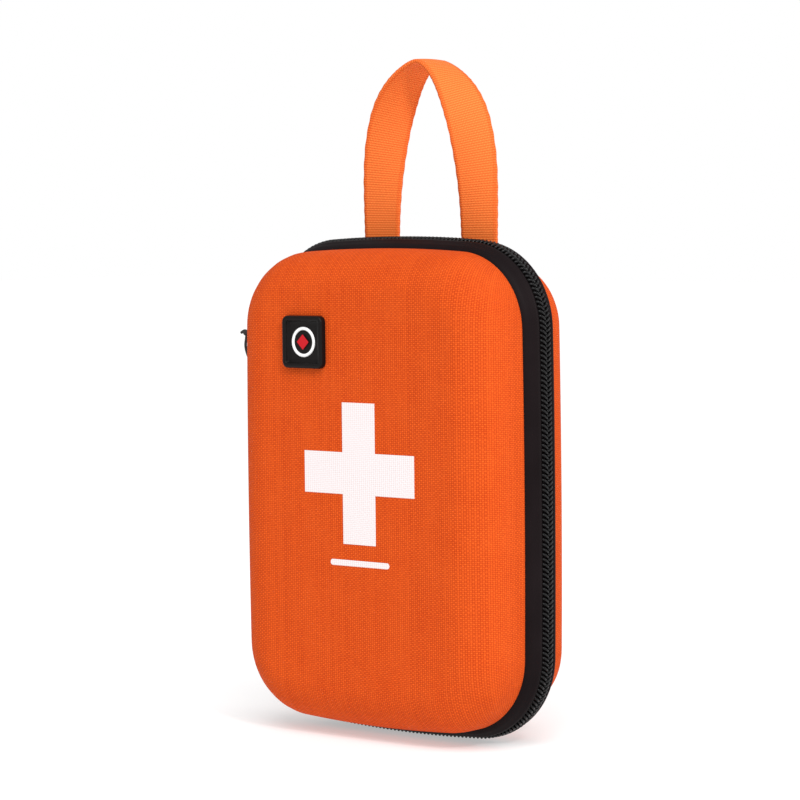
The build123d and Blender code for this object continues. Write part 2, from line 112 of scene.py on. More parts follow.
floor_finish, _, floor_shader = new_material("floor_paint", 0.9)
floor_shader.inputs["Base Color"].default_value = (0.62, 0.62, 0.62, 1.0)
floor_shader.inputs["Specular IOR Level"].default_value = 0.0
floor_shader.inputs["Emission Color"].default_value = (1.0, 1.0, 1.0, 1.0)
floor_shader.inputs["Emission Strength"].default_value = 0.42
floor_mesh = bpy.data.meshes.new("floor")
bm = bmesh.new()
bmesh.ops.create_grid(bm, x_segments=1, y_segments=1, size=6.0)
bm.to_mesh(floor_mesh)
bm.free()
floor_mesh.materials.append(floor_finish)
floor_plane = bpy.data.objects.new("floor", floor_mesh)
scene.collection.objects.link(floor_plane)


# ---- Pull cord ----
# A thin black braided cord, knotted behind the eye of the pull tab. It stands out from the tab
# by its own stiffness, and ends in a second knot with a short cut tail.
MM = 0.001
cord_diameter = 1.3 * MM
tab_pivot_x = -80.45
tab_eye_z = 157.65
cord_route = [
    (1.3, 0.0, 0.0), (-1.7, 0.1, -0.3), (-5.0, 0.5, -2.2), (-9.0, 1.0, -1.4), (-12.2, 1.0, 2.6),
    (-14.6, 0.4, 7.2), (-15.7, -0.2, 11.8), (-14.6, -0.6, 15.6), (-14.5, -0.2, 18.6),
    (-16.6, 0.3, 19.2), (-18.6, 0.5, 17.9),
]
cord_points = [Vector(((tab_pivot_x + x) * MM, y * MM, (tab_eye_z + z) * MM)) for x, y, z in cord_route]


def math_node(tree, operation, *values, clamp=False):
    """Math node fed by sockets or plain numbers; gives its output socket."""
    node = tree.nodes.new("ShaderNodeMath")
    node.operation = operation
    node.use_clamp = clamp
    for socket, value in zip(node.inputs, values):
        if isinstance(value, (int, float)):
            socket.default_value = value
        else:
            tree.links.new(value, socket)
    return node.outputs[0]


def mix_colours(tree, factor, first, second):
    """Mix two colours, each a tuple or a socket."""
    node = tree.nodes.new("ShaderNodeMix")
    node.data_type = "RGBA"
    tree.links.new(factor, node.inputs[0])
    for socket, value in ((node.inputs[6], first), (node.inputs[7], second)):
        if isinstance(value, tuple):
            socket.default_value = (*value, 1.0)
        else:
            tree.links.new(value, socket)
    return node.outputs[2]


def colour_by(tree, shader, factor, first, second):
    """Base colour that runs from one colour to another."""
    tree.links.new(mix_colours(tree, factor, first, second), shader.inputs["Base Color"])


def roughness_by(tree, shader, value, spread, least):
    """Roughness that rises with a value."""
    rough = math_node(tree, "ADD", math_node(tree, "MULTIPLY", value, spread), least)
    tree.links.new(rough, shader.inputs["Roughness"])


def ridges(tree, run, pitch):
    """Rounded ridges along a run, one every pitch."""
    turn = math_node(tree, "MULTIPLY", run, pi / pitch)
    return math_node(tree, "ABSOLUTE", math_node(tree, "SINE", turn))


def weighted(tree, first, first_share, second, second_share):
    """Sum of two values, each by its share."""
    return math_node(tree, "ADD", math_node(tree, "MULTIPLY", first, first_share),
                     math_node(tree, "MULTIPLY", second, second_share))


def object_axes(tree):
    """Object coordinates, whole and one by one."""
    coordinates = tree.nodes.new("ShaderNodeTexCoord").outputs["Object"]
    split = tree.nodes.new("ShaderNodeSeparateXYZ")
    tree.links.new(coordinates, split.inputs[0])
    return coordinates, split.outputs


def joined(tree, first, second):
    """Vector made of two values."""
    node = tree.nodes.new("ShaderNodeCombineXYZ")
    tree.links.new(first, node.inputs[0])
    tree.links.new(second, node.inputs[1])
    return node.outputs[0]


def texture_vector(tree, source, scale=(1.0, 1.0, 1.0)):
    """Object coordinates or a UV map, scaled by a Mapping node."""
    if source == "Object":
        out = tree.nodes.new("ShaderNodeTexCoord").outputs["Object"]
    else:
        layer = tree.nodes.new("ShaderNodeUVMap")
        layer.uv_map = source
        out = layer.outputs["UV"]
    mapping = tree.nodes.new("ShaderNodeMapping")
    mapping.inputs["Scale"].default_value = scale
    tree.links.new(out, mapping.inputs["Vector"])
    return mapping.outputs["Vector"]


def noise_value(tree, vector, scale, detail=3.0):
    """Noise texture value over a vector."""
    node = tree.nodes.new("ShaderNodeTexNoise")
    node.inputs["Scale"].default_value = scale
    node.inputs["Detail"].default_value = detail
    tree.links.new(vector, node.inputs["Vector"])
    return node.outputs["Fac"]


def add_bump(tree, shader, height, strength, distance):
    """Bump from a height on the shader's normal."""
    node = tree.nodes.new("ShaderNodeBump")
    node.inputs["Strength"].default_value = strength
    node.inputs["Distance"].default_value = distance
    tree.links.new(height, node.inputs["Height"])
    tree.links.new(node.outputs["Normal"], shader.inputs["Normal"])


def group_tree(name, inputs, outputs):
    """Shader node group with float or vector inputs and float outputs."""
    tree = bpy.data.node_groups.new(name, "ShaderNodeTree")
    for socket_name, kind, value in inputs:
        socket = tree.interface.new_socket(socket_name, in_out="INPUT", socket_type=kind)
        if value is not None:
            socket.default_value = value
    for socket_name in outputs:
        tree.interface.new_socket(socket_name, in_out="OUTPUT", socket_type="NodeSocketFloat")
    return tree, tree.nodes.new("NodeGroupInput").outputs, tree.nodes.new("NodeGroupOutput").inputs


def plain_weave():
    """Over-and-under pillows of a plain weave: height, gap between threads, and a shade per thread."""
    tree, given, made = group_tree(
        "plain weave",
        [("Vector", "NodeSocketVector", None), ("Across", "NodeSocketFloat", 0.001),
         ("Along", "NodeSocketFloat", 0.001)],
        ["Height", "Warp", "Shade"])
    split = tree.nodes.new("ShaderNodeSeparateXYZ")
    tree.links.new(given["Vector"], split.inputs[0])
    u = math_node(tree, "DIVIDE", split.outputs[0], given["Across"])
    v = math_node(tree, "DIVIDE", split.outputs[1], given["Along"])
    column = math_node(tree, "FLOOR", u)
    row = math_node(tree, "FLOOR", v)
    side = math_node(tree, "SUBTRACT", math_node(tree, "SUBTRACT", u, column), 0.5)
    length = math_node(tree, "SUBTRACT", math_node(tree, "SUBTRACT", v, row), 0.5)
    over = math_node(tree, "FLOORED_MODULO", math_node(tree, "ADD", column, row), 2.0)
    across = math_node(tree, "COSINE", math_node(tree, "MULTIPLY", side, pi * 0.96))
    along = math_node(tree, "COSINE", math_node(tree, "MULTIPLY", length, pi * 0.96))
    warp = math_node(tree, "MULTIPLY", math_node(tree, "POWER", across, 0.55),
                     math_node(tree, "POWER", along, 0.9))
    weft = math_node(tree, "MULTIPLY", math_node(tree, "POWER", across, 0.9),
                     math_node(tree, "POWER", along, 0.55))
    low = math_node(tree, "MULTIPLY", weft, 0.62)
    height = math_node(tree, "ADD", math_node(tree, "MULTIPLY", warp, over),
                       math_node(tree, "MULTIPLY", low, math_node(tree, "SUBTRACT", 1.0, over)))
    tree.links.new(height, made["Height"])
    tree.links.new(over, made["Warp"])
    cell = joined(tree, column, math_node(tree, "MULTIPLY", over, row))
    random = tree.nodes.new("ShaderNodeTexWhiteNoise")
    random.noise_dimensions = "3D"
    tree.links.new(cell, random.inputs["Vector"])
    tree.links.new(random.outputs["Value"], made["Shade"])
    return tree


weave_group = plain_weave()


def place_weave(tree, vector, across, along):
    """The weave group in a material, with its own thread spacing."""
    node = tree.nodes.new("ShaderNodeGroup")
    node.node_tree = weave_group
    tree.links.new(vector, node.inputs["Vector"])
    node.inputs["Across"].default_value = across
    node.inputs["Along"].default_value = along
    return node.outputs


def black_cloth(name, source, across, along, dark, light, roughness=0.75):
    """Dark woven or braided finish over a UV map, with painted light on the thread tops and painted shade in
    the gaps.
    """
    material, tree, shader = new_material(name, roughness)
    weave = place_weave(tree, texture_vector(tree, source), across, along)
    # Painted shade in the gaps between threads, painted light on their tops.
    colour_by(tree, shader, weave["Height"], dark, light)
    add_bump(tree, shader, weave["Height"], 0.6, min(across, along) * 0.3)
    return material


cord_finish, tree, shader = new_material("braided cord", 0.7)
weave = place_weave(tree, texture_vector(tree, "Object"), 0.0005, 0.0005)
# Painted shade in the gaps of the braid and painted light on the tops of its threads.
colour_by(tree, shader, weave["Height"], (0.004, 0.004, 0.004), (0.035, 0.034, 0.035))
cord_curve = bpy.data.curves.new("pull_cord_line", "CURVE")
cord_curve.dimensions = "3D"
cord_curve.bevel_depth = cord_diameter / 2
cord_curve.bevel_resolution = 3
cord_curve.use_fill_caps = True
spline = cord_curve.splines.new("NURBS")
spline.points.add(len(cord_points) - 1)
for point, place in zip(spline.points, cord_points):
    point.co = (*place, 1.0)
spline.order_u = 3
spline.use_endpoint_u = True
spline.resolution_u = 8
cord_curve.materials.append(cord_finish)
pull_cord = bpy.data.objects.new("pull_cord_line", cord_curve)
scene.collection.objects.link(pull_cord)
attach(pull_cord, "pull")
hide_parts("pull_cord")


def add_piece(name, bm, body, finish, nodes=(), smooth=True):
    """Mesh object from a bmesh, riding on a body, in place of its solids."""
    mesh = bpy.data.meshes.new(name)
    bm.to_mesh(mesh)
    bm.free()
    mesh.materials.append(finish)
    for face in mesh.polygons:
        face.use_smooth = smooth
    piece = bpy.data.objects.new(name, mesh)
    scene.collection.objects.link(piece)
    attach(piece, body)
    if nodes:
        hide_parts(*nodes)
    return piece


def dress(node, finish):
    """Give a solid that stays visible its finish."""
    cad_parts[node].data.materials.clear()
    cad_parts[node].data.materials.append(finish)


def knot(name, place, radius, node):
    """Overhand knot drawn tight: a ball with a turn of cord round it."""
    bm = bmesh.new()
    bmesh.ops.create_icosphere(bm, subdivisions=3, radius=radius)
    for vert in bm.verts:
        swirl = atan2(vert.co.y, vert.co.x) * 2 + vert.co.z / radius * 4
        vert.co *= 1.0 + 0.10 * sin(swirl)
    bmesh.ops.translate(bm, verts=bm.verts, vec=place)
    return add_piece(name, bm, "pull", cord_finish, [node])


outer_knot = knot("outer_knot", ((tab_pivot_x - 14.7) * MM, -0.3 * MM, (tab_eye_z + 17.9) * MM), 1.5 * MM,
                  "pull_cord_knot")
inner_knot = knot("inner_knot", ((tab_pivot_x + 1.6) * MM, 0.0, tab_eye_z * MM), 0.95 * MM,
                  "pull_cord_inner_knot")


# ---- Woven covers ----
# Polyester Oxford cloth laminated to each foam half and hot-pressed with it. Its threads run level
# and upright on the flat face and turn down over the rounded edge without being cut.
half_wide = 77.0 * MM
half_tall = 110.0 * MM
side_bow = 1.3 * MM
end_bow = 4.8 * MM
corner_radius = 38.5 * MM
middle_z = half_tall
side_arc = (half_tall ** 2 + side_bow ** 2) / (2 * side_bow)
end_arc = (half_wide ** 2 + end_bow ** 2) / (2 * end_bow)
side_centre = Vector((half_wide - side_arc, 0.0))
end_centre = Vector((0.0, half_tall - end_arc))
between = end_centre - side_centre
reach_along = (between.length_squared + (side_arc - corner_radius) ** 2
               - (end_arc - corner_radius) ** 2) / (2 * between.length)
reach_across = sqrt((side_arc - corner_radius) ** 2 - reach_along ** 2)
between.normalize()
corner_middle = side_centre + between * reach_along + Vector((-between.y, between.x)) * reach_across
side_turn = atan2(corner_middle.y, corner_middle.x - side_centre.x)
end_turn = atan2(corner_middle.y - end_centre.y, corner_middle.x)

# Eight arcs, from the foot of the right side round by the top: centre, radius, first and last angle.
rim_arcs = [
    (side_centre, side_arc, -side_turn, side_turn),
    (corner_middle, corner_radius, side_turn, end_turn),
    (end_centre, end_arc, end_turn, pi - end_turn),
    (Vector((-corner_middle.x, corner_middle.y)), corner_radius, pi - end_turn, pi - side_turn),
    (-side_centre, side_arc, pi - side_turn, pi + side_turn),
    (-corner_middle, corner_radius, pi + side_turn, pi + end_turn),
    (-end_centre, end_arc, pi + end_turn, 2 * pi - end_turn),
    (Vector((corner_middle.x, -corner_middle.y)), corner_radius, 2 * pi - end_turn, 2 * pi - side_turn),
]
rim_length = sum(radius * (last - first) for _, radius, first, last in rim_arcs)


def spun_round(section, step=2.5 * MM):
    """Carry a section of (inset, depth) points round the case, one spin for each arc of its outline."""
    bm = bmesh.new()
    for centre, radius, first, last in rim_arcs:
        row = [bm.verts.new((centre.x + (radius - inset) * cos(first), -depth,
                             middle_z + centre.y + (radius - inset) * sin(first)))
               for inset, depth in section]
        edges = [bm.edges.new(pair) for pair in zip(row, row[1:])]
        steps = max(3, round(radius * (last - first) / step))
        bmesh.ops.spin(bm, geom=row + edges, cent=(centre.x, 0.0, middle_z + centre.y), axis=(0.0, -1.0, 0.0),
                       angle=last - first, steps=steps, use_duplicate=False)
    bmesh.ops.remove_doubles(bm, verts=bm.verts, dist=0.12 * MM)
    return bm


def closed_face(bm, rings):
    """Fill the inner edge loop of a spun tray with rings that shrink to its middle."""
    near_middle = 8 * MM
    side_room = 5 * MM
    end_room = 41 * MM
    loops = [e for e in bm.edges if e.is_boundary]
    reach = min(abs(v.co.x) for e in loops for v in e.verts if abs(v.co.z - middle_z) < near_middle)
    loop = [e for e in loops
            if all(abs(v.co.x) < reach + side_room and abs(v.co.z - middle_z) < reach + end_room
                   for v in e.verts)]
    for ring in range(rings):
        grown = bmesh.ops.extrude_edge_only(bm, edges=loop)["geom"]
        verts = [g for g in grown if isinstance(g, bmesh.types.BMVert)]
        shrink = 1.0 - 1.0 / (rings - ring + 0.6)
        for vert in verts:
            vert.co.x *= shrink
            vert.co.z = middle_z + (vert.co.z - middle_z) * shrink
        loop = [g for g in grown if isinstance(g, bmesh.types.BMEdge)]
    bmesh.ops.contextual_create(bm, geom=loop)


def tray_section(inset, near, depth, radius, face_inset, steps=9):
    """Wall, rounded edge and border of the flat face, as (inset, depth) points."""
    points = [(inset + 0.9 * MM, near + 0.25 * MM), (inset + 0.25 * MM, near - 0.05 * MM),
              (inset, near + 0.6 * MM)]
    for k in range(1, 5):
        points.append((inset, near + (depth - radius - near) * k / 4))
    for k in range(1, steps + 1):
        angle = pi / 2 * k / steps
        points.append((inset + radius * (1 - cos(angle)), depth - radius * (1 - sin(angle))))
    for k in range(1, 4):
        points.append((inset + radius + (face_inset - inset - radius) * k / 3, depth))
    return points


def rim_normal(x, z):
    """Direction square to the case's outline at a point near it, in the plane of the zip."""
    place = Vector((abs(x), abs(z - middle_z)))
    from_corner = place - corner_middle
    bearing = atan2(from_corner.y, from_corner.x)
    if bearing < side_turn:
        away = place - side_centre
    elif bearing > end_turn:
        away = place - end_centre
    else:
        away = from_corner
    away.normalize()
    return Vector((away.x if x > 0 else -away.x, away.y if z > middle_z else -away.y))


def give_thread_map(piece, section, name="threads"):
    """UV map in metres: the cloth laid flat again, its face as it lies and its walls folded out."""
    slack = [(section[-1][1], 0.0)]
    for (inset_a, depth_a), (inset_b, depth_b) in zip(section[::-1], section[-2::-1]):
        length = hypot(inset_a - inset_b, depth_a - depth_b)
        slack.append((depth_b, slack[-1][1] + length - (inset_a - inset_b)))
    layer = piece.data.uv_layers.new(name=name)
    spots = []
    for vert in piece.data.vertices:
        x, y, z = vert.co
        extra = 0.0
        for (depth_a, extra_a), (depth_b, extra_b) in zip(slack, slack[1:]):
            if depth_b <= abs(y) < depth_a:
                extra = extra_a + (extra_b - extra_a) * (depth_a - abs(y)) / (depth_a - depth_b)
                break
        along = rim_normal(x, z) * extra
        spots.append((x + along.x, z + along.y))
    for loop in piece.data.loops:
        layer.data[loop.index].uv = spots[loop.vertex_index]


def mirror_to_base(bm):
    """Turn a shape on the lid's side of the zip into one on the base's side."""
    for vert in bm.verts:
        vert.co.y = -vert.co.y
    bmesh.ops.reverse_faces(bm, faces=bm.faces)


def face_outwards(bm):
    """Make every face of an open tray look away from the middle of the case."""
    bmesh.ops.recalc_face_normals(bm, faces=bm.faces)
    middle = Vector((0.0, 0.0, middle_z))
    inward = sum((face.calc_center_median() - middle).dot(face.normal) * face.calc_area()
                 for face in bm.faces)
    if inward < 0:
        bmesh.ops.reverse_faces(bm, faces=bm.faces)


thread_across = 1.12 * MM
thread_along = 0.82 * MM


def orange_weave():
    """Orange Oxford cloth: paler on top of each thread as painted light, redder in the gaps as painted shade,
    each thread with its own random tone.
    """
    material, tree, shader = new_material("orange weave", 0.72)
    vector = texture_vector(tree, "threads")
    weave = place_weave(tree, vector, thread_across, thread_along)
    cloud = noise_value(tree, vector, 60.0, 2.0)
    thread = math_node(tree, "MULTIPLY", math_node(tree, "SUBTRACT", weave["Shade"], 0.5), 0.22)
    # Painted light on the thread tops and painted shade in the gaps between threads, with a random tone per
    # thread added.
    light = math_node(tree, "ADD", weave["Height"], thread, clamp=True)
    colour = mix_colours(tree, light, (0.40, 0.028, 0.0033), (0.84, 0.115, 0.0135))
    haze = math_node(tree, "MULTIPLY", cloud, 0.22)
    colour_by(tree, shader, haze, colour, (0.90, 0.165, 0.024))
    shader.inputs["Specular IOR Level"].default_value = 0.06
    add_bump(tree, shader, weave["Height"], 0.75, 0.22 * MM)
    return material


cover_finish = orange_weave()
shell_near = 10.4 * MM
face_inset = 33.0 * MM


def cover(name, inset, depth, edge_radius, body, node):
    """One moulded cover with its thread map."""
    section = tray_section(inset, shell_near, depth, edge_radius, face_inset)
    bm = spun_round(section)
    closed_face(bm, 5)
    if body == "case":
        mirror_to_base(bm)
    face_outwards(bm)
    piece = add_piece(name, bm, body, cover_finish, [node])
    give_thread_map(piece, section)
    cloth = piece.modifiers.new("cloth", "SOLIDIFY")
    cloth.thickness = 0.5 * MM
    cloth.offset = -1.0
    return piece


lid_inset = 5.2 * MM
lid_depth = 38.0 * MM
base_inset = 8.4 * MM
base_depth = 33.0 * MM
edge_radius = 19.0 * MM
cover("lid_cover_cloth", lid_inset, lid_depth, edge_radius, "lid", "lid_cover")
cover("base_cover_cloth", base_inset, base_depth, edge_radius, "case", "base_cover")


# ---- Zip tapes ----
# Black polyurethane-coated tape, smooth and slightly soft to the touch. It runs from under the
# coil to the shell's edge, turns in under the cover, and is sewn to the foam inside.
def coated_tape():
    """Black coated tape with a faint grain and rubbed lighter patches."""
    material, tree, shader = new_material("coated tape", 0.48)
    vector = texture_vector(tree, "Object")
    grain = noise_value(tree, vector, 2600.0, 2.0)
    patch = noise_value(tree, vector, 38.0, 3.0)
    colour_by(tree, shader, patch, (0.0045, 0.0025, 0.0028), (0.013, 0.0085, 0.0095))
    roughness_by(tree, shader, grain, 0.18, 0.42)
    shader.inputs["Specular IOR Level"].default_value = 0.05
    add_bump(tree, shader, grain, 0.35, 0.05 * MM)
    return material


tape_finish = coated_tape()
hinge_x = -77.6 * MM
slider_zone = (152.0 * MM, 195.0 * MM)
stops_zone = (43.0 * MM, 49.5 * MM)
bend_height = 3.0 * MM


def stand_back(bm, room=10.6 * MM):
    """Bend the tape back from the hinge line where the slider, its pull and the stops turn."""
    for low, high in (slider_zone, stops_zone):
        for vert in bm.verts:
            reach = Vector((vert.co.x - hinge_x, vert.co.y))
            if vert.co.x < -half_wide / 2 and 0 < reach.length < room:
                inside = min(vert.co.z - low, high - vert.co.z) / bend_height + 1.0
                if inside > 0:
                    held = reach.length + (room - reach.length) * min(inside, 1.0)
                    reach *= held / reach.length
                    vert.co.x = hinge_x + reach.x
                    vert.co.y = reach.y


def zip_tape(name, inset, body, node):
    """Tape from the coil to its lap inside the shell, as a thin closed band."""
    edge = inset / MM
    swell = 1.0 if body == "case" else 0.25
    section = [(2.75, 0.12), (2.4, 2.4), (1.5, 3.3), (1.2 - 0.3 * swell, 4.4), (1.7 - 0.6 * swell, 5.6),
               (3.0 - 0.8 * swell, 7.0), (edge - 1.4 - 2.9 * swell, 8.4), (edge - 0.1 - 1.3 * swell, 9.7),
               (edge + 0.7, 10.5), (edge + 1.9, 11.1),
               (edge + 2.1, 13.0), (edge + 2.1, 19.0)]
    bm = spun_round([(a * MM, b * MM) for a, b in section])
    if body == "case":
        mirror_to_base(bm)
    stand_back(bm)
    face_outwards(bm)
    piece = add_piece(name, bm, body, tape_finish, [node])
    cloth = piece.modifiers.new("cloth", "SOLIDIFY")
    cloth.thickness = 0.9 * MM
    cloth.offset = -1.0
    return piece


zip_tape("lid_tape_band", lid_inset, "lid", "lid_zip_tape")
zip_tape("base_tape_band", base_inset, "case", "base_zip_tape")


# ---- Zip coils ----
# Black nylon monofilament wound into a coil and woven to each tape. The loops of the two rows lean
# together into a chevron, and stand proud of the tape all round the case but for the hinge side.
coil_pitch = 2.12 * MM
coil_wire = 0.60 * MM
coil_high_end = 195.5 * MM
coil_low_end = 45.0 * MM


def rim_place(run):
    """Point, forward direction and outward direction on the outline after a length of run."""
    run = run % rim_length
    for centre, radius, first, last in rim_arcs:
        length = radius * (last - first)
        if run <= length:
            break
        run -= length
    angle = first + run / radius
    outward = Vector((cos(angle), 0.0, sin(angle)))
    place = Vector((centre.x, 0.0, middle_z + centre.y)) + outward * radius
    return place, Vector((-sin(angle), 0.0, cos(angle))), outward


def coil_loop():
    """One leg of the coil: a bent wire from the middle of the zip to its outer edge."""
    stations = [(-0.10, 1.25, -0.95), (0.30, 0.80, -0.80), (1.3, 0.62, -0.25), (2.1, 0.66, 0.30),
                (2.75, 0.98, 0.70), (3.1, 1.6, 0.86), (3.0, 2.3, 0.7)]
    line = [Vector((a, b, c)) * MM for a, b, c in stations]
    bm = bmesh.new()
    ring = bmesh.ops.create_circle(bm, segments=6, radius=coil_wire)["verts"]
    edges = list({e for v in ring for e in v.link_edges})
    before = Vector((0.0, 0.0, 1.0))
    at = Vector((0.0, 0.0, 0.0))
    for k, place in enumerate(line):
        ahead = (line[min(k + 1, len(line) - 1)] - line[max(k - 1, 0)]).normalized()
        if k:
            grown = bmesh.ops.extrude_edge_only(bm, edges=edges)["geom"]
            ring = [g for g in grown if isinstance(g, bmesh.types.BMVert)]
            edges = [g for g in grown if isinstance(g, bmesh.types.BMEdge)]
        bend = before.rotation_difference(ahead).to_matrix().to_4x4()
        move = Matrix.Translation(place) @ bend @ Matrix.Translation(-at)
        bmesh.ops.transform(bm, matrix=move, verts=ring)
        before = ahead
        at = place
    bmesh.ops.holes_fill(bm, edges=[e for e in bm.edges if e.is_boundary], sides=0)
    bmesh.ops.recalc_face_normals(bm, faces=bm.faces)
    mesh = bpy.data.meshes.new("coil loop")
    bm.to_mesh(mesh)
    bm.free()
    return mesh


coil_leg = coil_loop()
coil_finish, tree, shader = new_material("nylon coil", 0.24)
shader.inputs["Specular IOR Level"].default_value = 0.20
vector = texture_vector(tree, "Object")
rub = noise_value(tree, vector, 420.0, 2.0)
colour_by(tree, shader, rub, (0.0015, 0.0015, 0.0016), (0.006, 0.0055, 0.006))
roughness_by(tree, shader, rub, 0.16, 0.22)
add_bump(tree, shader, noise_value(tree, vector, 3000.0, 2.0), 0.2, 0.03 * MM)


def zip_coil(name, side, body, node):
    """One row of coil legs round the case; side is -1 on the lid and 1 on the base."""
    bm = bmesh.new()
    count = floor(rim_length / coil_pitch)
    for k in range(count):
        run = (k + (0.5 if side > 0 else 0.0)) * rim_length / count
        place, forward, outward = rim_place(run)
        if place.x < 0 and coil_low_end < place.z < coil_high_end:
            continue
        start = len(bm.verts)
        bm.from_mesh(coil_leg)
        bm.verts.ensure_lookup_table()
        for vert in bm.verts[start:]:
            across, inset, ahead = vert.co
            vert.co = place + Vector((0.0, side * across, 0.0)) + forward * ahead - outward * inset
    bmesh.ops.recalc_face_normals(bm, faces=bm.faces)
    return add_piece(name, bm, body, coil_finish, [node])


zip_coil("lid_coil_row", -1, "lid", "lid_zip_coil")
zip_coil("base_coil_row", 1, "case", "base_zip_coil")


# ---- Carry loop ----
# Orange polyester webbing, woven with fine cross ribs and firm selvedges. It faces forwards where
# it is sewn in behind the zip, and turns a quarter so that its top lies flat under a finger.
web_width = 19.0 * MM
web_thickness = 1.5 * MM
web_half_span = 27.5 * MM
web_middle_x = 3.0 * MM
web_y = 13.0 * MM
web_foot = 212.0 * MM
web_top = 296.6 * MM


def web_station(t):
    """Middle of the webbing and the direction of its width, from one foot to the other."""
    angle = pi * t
    lean = cos(angle)
    x = -web_half_span * (abs(lean) ** 1.3) * (1 if lean > 0 else -1)
    z = web_foot + (web_top - web_foot) * sin(angle) ** 0.62 if 0 < t < 1 else web_foot
    quarter = radians(90) * sin(angle) ** 1.3 if 0 < t < 1 else 0.0
    return Vector((x + web_middle_x, web_y, z)), Vector((cos(quarter), sin(quarter), 0.0))


def carry_webbing():
    """Grid of threads bent along the loop, given its thickness."""
    along_steps = 160
    bm = bmesh.new()
    bmesh.ops.create_grid(bm, x_segments=12, y_segments=along_steps, size=0.5)
    threads = {}
    run = 0.0
    stations = []
    last = web_station(0.0)[0]
    for k in range(along_steps + 1):
        t = (1 - cos(pi * k / along_steps)) / 2
        middle, across = web_station(t)
        run += (middle - last).length
        stations.append((middle, across, run))
        last = middle
    for vert in bm.verts:
        k = round((vert.co.y + 0.5) * along_steps)
        side = vert.co.x
        middle, across, run = stations[k]
        ahead = stations[min(k + 1, along_steps)][0] - stations[max(k - 1, 0)][0]
        ahead.normalize()
        thick = ahead.cross(across).normalized()
        wide = thick.cross(ahead).normalized()
        scallop = 1.0 + (0.012 * sin(run / (0.9 * MM) * pi) if abs(side) > 0.49 else 0.0)
        dish = 0.35 * MM * (1 - (2 * side) ** 2)
        vert.co = middle + wide * (side * web_width * scallop) + thick * dish
        threads[vert.index] = (side * web_width, run)
    piece = add_piece("carry_webbing", bm, "loop", web_finish, ["carry_loop"])
    layer = piece.data.uv_layers.new(name="threads")
    for loop in piece.data.loops:
        layer.data[loop.index].uv = threads[loop.vertex_index]
    cloth = piece.modifiers.new("cloth", "SOLIDIFY")
    cloth.thickness = web_thickness
    cloth.offset = 0.0
    return piece


def webbing_finish():
    """Orange webbing: fine ribs across, tight selvedges and a faint lengthwise shade, with painted light on
    the tops of threads and ribs and painted shade between them.
    """
    material, tree, shader = new_material("orange webbing", 0.62)
    vector = texture_vector(tree, "threads")
    rib_pitch = 1.05 * MM
    selvedge_width = 1.6 * MM
    weave = place_weave(tree, vector, 0.75 * MM, rib_pitch)
    split = tree.nodes.new("ShaderNodeSeparateXYZ")
    tree.links.new(vector, split.inputs[0])
    edge = math_node(tree, "ABSOLUTE", split.outputs[0])
    selvedge = math_node(tree, "GREATER_THAN", edge, web_width / 2 - selvedge_width)
    rib = ridges(tree, split.outputs[1], rib_pitch)
    height = weighted(tree, weave["Height"], 0.6, rib, 0.4)
    # Painted light on the tops of the threads and ribs, painted shade between them; the selvedges a little
    # darker.
    light = math_node(tree, "SUBTRACT", height, math_node(tree, "MULTIPLY", selvedge, 0.25), clamp=True)
    colour_by(tree, shader, light, (0.74, 0.105, 0.016), (0.95, 0.25, 0.055))
    shader.inputs["Specular IOR Level"].default_value = 0.08
    add_bump(tree, shader, height, 0.6, 0.25 * MM)
    return material


web_finish = webbing_finish()
carry_webbing()


# ---- Badge ----
# Soft black rubber square, moulded with a raised border and glued to the lid. Its emblem, a plain
# white ring round a red diamond, is poured into the sunken face.
def moulded_rubber(name, colour, roughness, grain_scale=1500.0):
    """Moulded soft plastic with a fine stippled grain."""
    material, tree, shader = new_material(name, roughness)
    shader.inputs["Specular IOR Level"].default_value = 0.12
    vector = texture_vector(tree, "Object")
    grain = noise_value(tree, vector, grain_scale, 2.0)
    pale = tuple(min(1.0, c * 1.35 + 0.004) for c in colour)
    colour_by(tree, shader, grain, colour, pale)
    add_bump(tree, shader, grain, 0.25, 0.04 * MM)
    return material


badge_middle = Vector((-26.5 * MM, -lid_depth, 174.5 * MM))
badge_half = 11.5 * MM
badge_rise = 1.25
emblem_sunk = Vector((0, -1.15 * MM, 0))


def badge():
    """Rounded square block with a rounded border and a sunken face."""
    bm = bmesh.new()
    bmesh.ops.create_circle(bm, cap_ends=False, segments=40, radius=1.0,
                            matrix=Matrix.Rotation(pi / 2, 4, "X") @ Matrix.Rotation(pi / 40, 4, "Z"))
    turns = {vert: vert.co.copy() for vert in bm.verts}
    edges = list(bm.edges)
    corner = 3.0 * MM
    levels = [(0.0, 0.0), (0.0, 1.5), (0.15, 1.95), (0.5, 2.25), (1.0, 2.4), (1.7, 2.4),
              (2.15, 2.2), (2.35, 1.8), (2.45, 1.35), (2.7, 1.15), (4.2, 1.1), (8.0, 1.1)]
    for step, (inset, height) in enumerate(levels):
        if step:
            grown = bmesh.ops.extrude_edge_only(bm, edges=edges)["geom"]
            edges = [g for g in grown if isinstance(g, bmesh.types.BMEdge)]
            fresh = {}
            for edge in edges:
                for vert in edge.verts:
                    fresh[vert] = turns[min(turns, key=lambda old: (old.co - vert.co).length)]
            turns = fresh
        round_off = max(corner - inset * MM, 0.8 * MM)
        straight = badge_half - inset * MM - round_off
        for vert, unit in turns.items():
            vert.co = Vector((straight * (1 if unit.x > 0 else -1) + round_off * unit.x,
                              -badge_rise * height * MM,
                              straight * (1 if unit.z > 0 else -1) + round_off * unit.z))
    bmesh.ops.contextual_create(bm, geom=edges)
    bmesh.ops.recalc_face_normals(bm, faces=bm.faces)
    bmesh.ops.translate(bm, verts=bm.verts, vec=badge_middle)
    return bm


badge_finish = moulded_rubber("badge rubber", (0.004, 0.003, 0.003), 0.40)
add_piece("badge_block", badge(), "lid", badge_finish, ["badge_frame"])


